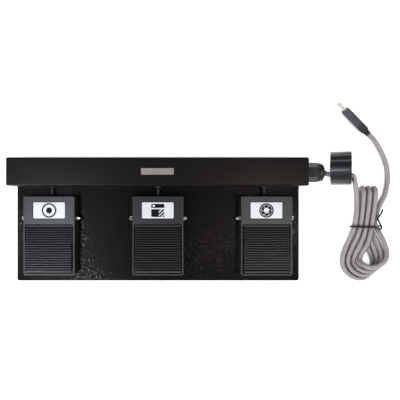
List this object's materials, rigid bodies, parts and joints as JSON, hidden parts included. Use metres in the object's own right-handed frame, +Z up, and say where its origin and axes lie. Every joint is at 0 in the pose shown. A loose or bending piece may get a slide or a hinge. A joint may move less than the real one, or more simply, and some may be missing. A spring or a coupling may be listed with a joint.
{
  "type": "USB foot pedal switch",
  "caption": "USB foot switch with ribbed sprung pedals on a black steel base, a wiring housing along the rear and a tied USB cord with a ferrite core.",
  "frame": {"origin": "on the floor under the middle of the base and housing, cord and gland left out", "axes": "+X to the right along the housing, +Y to the rear where the housing is, +Z up"},
  "size_m": [0.5027, 0.2409, 0.0496],
  "materials": {
    "powder_coat": "fine textured satin",
    "rubber": "matt",
    "plated_steel": "zinc plated",
    "spring_steel": "bright",
    "polished_steel": "polished",
    "nameplate_metal": "satin, pale champagne",
    "circuit_board": "solder mask",
    "brass": "satin",
    "chip_plastic": "matt",
    "terminal_green": "matt",
    "header_cream": "matt",
    "pedal_plastic": "satin moulded",
    "switch_plastic": "satin",
    "plunger_plastic": "gloss",
    "label_white": "printed, clear coat",
    "cable_jacket": "satin",
    "black_nylon": "satin moulded",
    "cord_grey": "satin",
    "tie_black": "satin",
    "ferrite": "coated gloss",
    "plug_plastic": "satin",
    "plug_steel": "nickel plated",
    "plug_insulator": "matt"
  },
  "bodies": {
    "frame": {"base_plate": "powder_coat", "rubber_feet": "rubber", "housing_cover": "powder_coat", "cover_screws": "plated_steel", "nameplate": "nameplate_metal", "encoder_board": "circuit_board", "board_standoffs": "brass", "board_screws": "plated_steel", "controller_chip": "chip_plastic", "terminal_blocks": "terminal_green", "usb_header": "header_cream", "cable_grommets": "rubber", "cable_bushes": "rubber", "floor_screws": "plated_steel", "pedal_screws": "plated_steel", "switch_screws": "plated_steel", "switch_terminals": "brass", "pivot_caps": "polished_steel", "left_shell": "pedal_plastic", "middle_shell": "pedal_plastic", "right_shell": "pedal_plastic", "left_floor": "pedal_plastic", "middle_floor": "pedal_plastic", "right_floor": "pedal_plastic", "left_pivot_pin": "polished_steel", "middle_pivot_pin": "polished_steel", "right_pivot_pin": "polished_steel", "left_spring": "spring_steel", "middle_spring": "spring_steel", "right_spring": "spring_steel", "left_switch": "switch_plastic", "middle_switch": "switch_plastic", "right_switch": "switch_plastic", "left_label": "label_white", "middle_label": "label_white", "right_label": "label_white", "left_cable": "cable_jacket", "middle_cable": "cable_jacket", "right_cable": "cable_jacket", "gland_body": "black_nylon", "gland_seal": "rubber", "gland_dome_nut": "black_nylon", "gland_locknut": "black_nylon", "usb_cord_inside": "cord_grey", "usb_cord_lead": "cord_grey", "usb_cord_hank": "cord_grey", "usb_cord_tail": "cord_grey", "hank_tie": "tie_black", "ferrite_core": "ferrite", "plug_body": "plug_plastic", "plug_boot": "plug_plastic", "plug_shell": "plug_steel", "plug_insulator": "plug_insulator", "plug_contacts": "brass"},
    "left_pedal": {"left_treadle": "pedal_plastic"},
    "middle_pedal": {"middle_treadle": "pedal_plastic"},
    "right_pedal": {"right_treadle": "pedal_plastic"},
    "left_contact": {"left_plunger": "plunger_plastic"},
    "middle_contact": {"middle_plunger": "plunger_plastic"},
    "right_contact": {"right_plunger": "plunger_plastic"}
  },
  "joints": [
    {"name": "left_press", "type": "hinge", "parent": "frame", "child": "left_pedal", "pos_m": [-0.141, 0.00335, 0.0147], "axis": [1, 0, 0], "range_deg": [0, 6], "stiffness_Nm_per_rad": 3, "springref_deg": -5.73, "deforming": ["left_spring"]},
    {"name": "middle_press", "type": "hinge", "parent": "frame", "child": "middle_pedal", "pos_m": [0, 0.00335, 0.0147], "axis": [1, 0, 0], "range_deg": [0, 6], "stiffness_Nm_per_rad": 3, "springref_deg": -5.73, "deforming": ["middle_spring"]},
    {"name": "right_press", "type": "hinge", "parent": "frame", "child": "right_pedal", "pos_m": [0.141, 0.00335, 0.0147], "axis": [1, 0, 0], "range_deg": [0, 6], "stiffness_Nm_per_rad": 3, "springref_deg": -5.73, "deforming": ["right_spring"]},
    {"name": "left_plunge", "type": "slide", "parent": "frame", "child": "left_contact", "axis": [0, 0, -1], "range_m": [0, 0.0015]},
    {"name": "middle_plunge", "type": "slide", "parent": "frame", "child": "middle_contact", "axis": [0, 0, -1], "range_m": [0, 0.0015]},
    {"name": "right_plunge", "type": "slide", "parent": "frame", "child": "right_contact", "axis": [0, 0, -1], "range_m": [0, 0.0015]}
  ],
  "couplings": [
    {"joint": "left_plunge", "follows": "left_press", "m_per_rad": 0.014},
    {"joint": "middle_plunge", "follows": "middle_press", "m_per_rad": 0.014},
    {"joint": "right_plunge", "follows": "right_press", "m_per_rad": 0.014}
  ]
}
